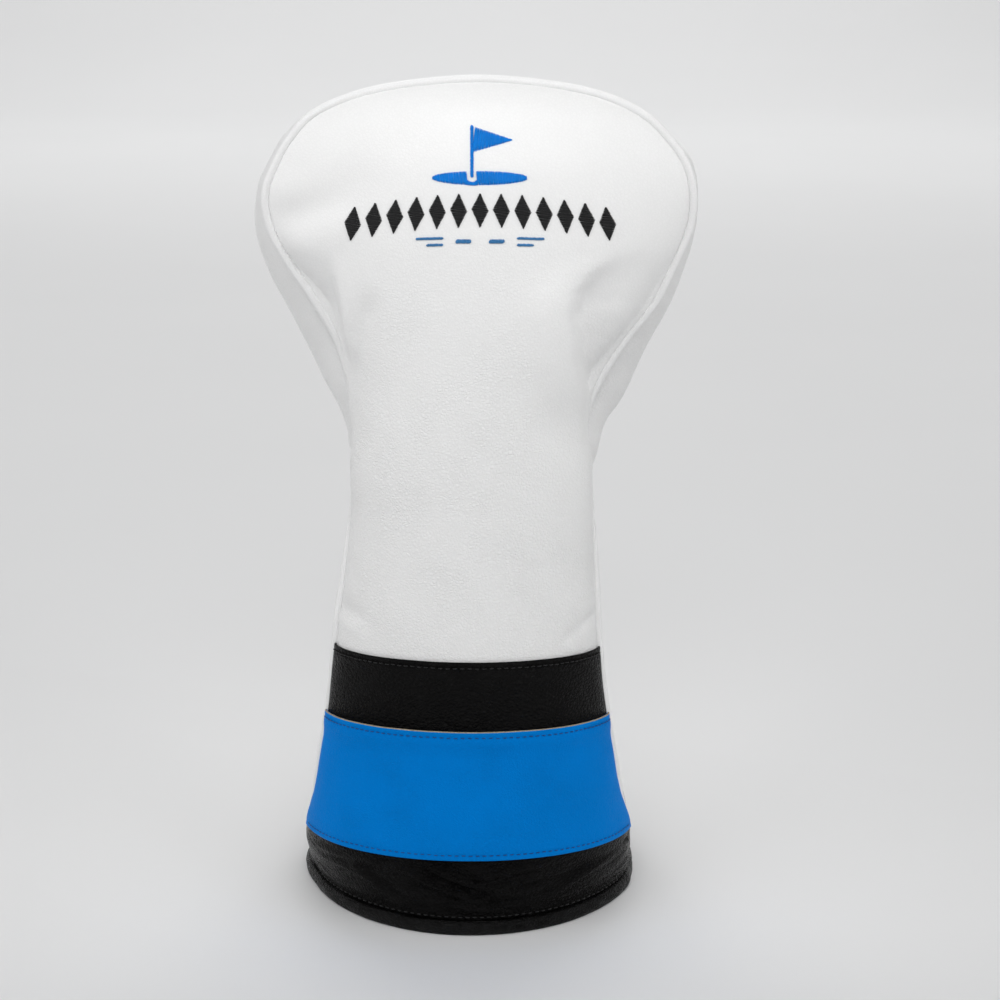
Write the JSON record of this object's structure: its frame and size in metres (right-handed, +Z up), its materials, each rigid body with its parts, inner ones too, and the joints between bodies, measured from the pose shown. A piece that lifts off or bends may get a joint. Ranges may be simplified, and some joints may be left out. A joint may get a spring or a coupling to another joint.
{
  "type": "golf club head cover",
  "caption": "Soft leather cover for a driver-size golf club head: wide padded head, narrow elastic neck and flared open hem that it stands on, with piped seams and bands.",
  "frame": {"origin": "centre of the footprint at the bottom of the hem, on the floor", "axes": "+Z up from the hem to the top of the head, the front panel faces -Y, +X to the right seen from the front"},
  "size_m": [0.1742, 0.1274, 0.3397],
  "materials": {
    "white_leather": "fine pebbled satin",
    "black_leather": "fine grained satin",
    "blue_leather": "smooth satin with a raw tan cut edge",
    "white_piping": "smooth satin",
    "cotton_cord": "twisted cotton",
    "foam": "open-cell foam",
    "fleece": "napped fleece",
    "elastic": "ribbed elastic tape",
    "backing_cloth": "non-woven stabiliser",
    "white_thread": "polyester thread",
    "black_thread": "polyester thread with a slight sheen",
    "navy_thread": "polyester thread",
    "blue_thread": "satin-stitched rayon thread",
    "steel_blue_thread": "satin-stitched rayon thread"
  },
  "bodies": {
    "root": {"front_panel": "white_leather", "back_panel": "white_leather", "gusset": "white_leather", "upper_black_band": "black_leather", "blue_band": "blue_leather", "black_cuff": "black_leather", "hem_binding": "black_leather", "front_piping": "white_piping", "front_piping_cord": "cotton_cord", "back_piping": "white_piping", "back_piping_cord": "cotton_cord", "front_padding": "foam", "back_padding": "foam", "gusset_padding": "foam", "lining": "fleece", "neck_elastic": "elastic", "elastic_stitching": "white_thread", "embroidery_backing": "backing_cloth", "black_band_stitching": "black_thread", "blue_top_stitching": "navy_thread", "blue_bottom_stitching": "navy_thread", "cuff_stitching": "black_thread", "hem_stitching": "black_thread", "emblem_flag": "blue_thread", "emblem_green": "blue_thread", "diamond_row": "black_thread", "accent_dashes": "steel_blue_thread"}
  },
  "joints": []
}
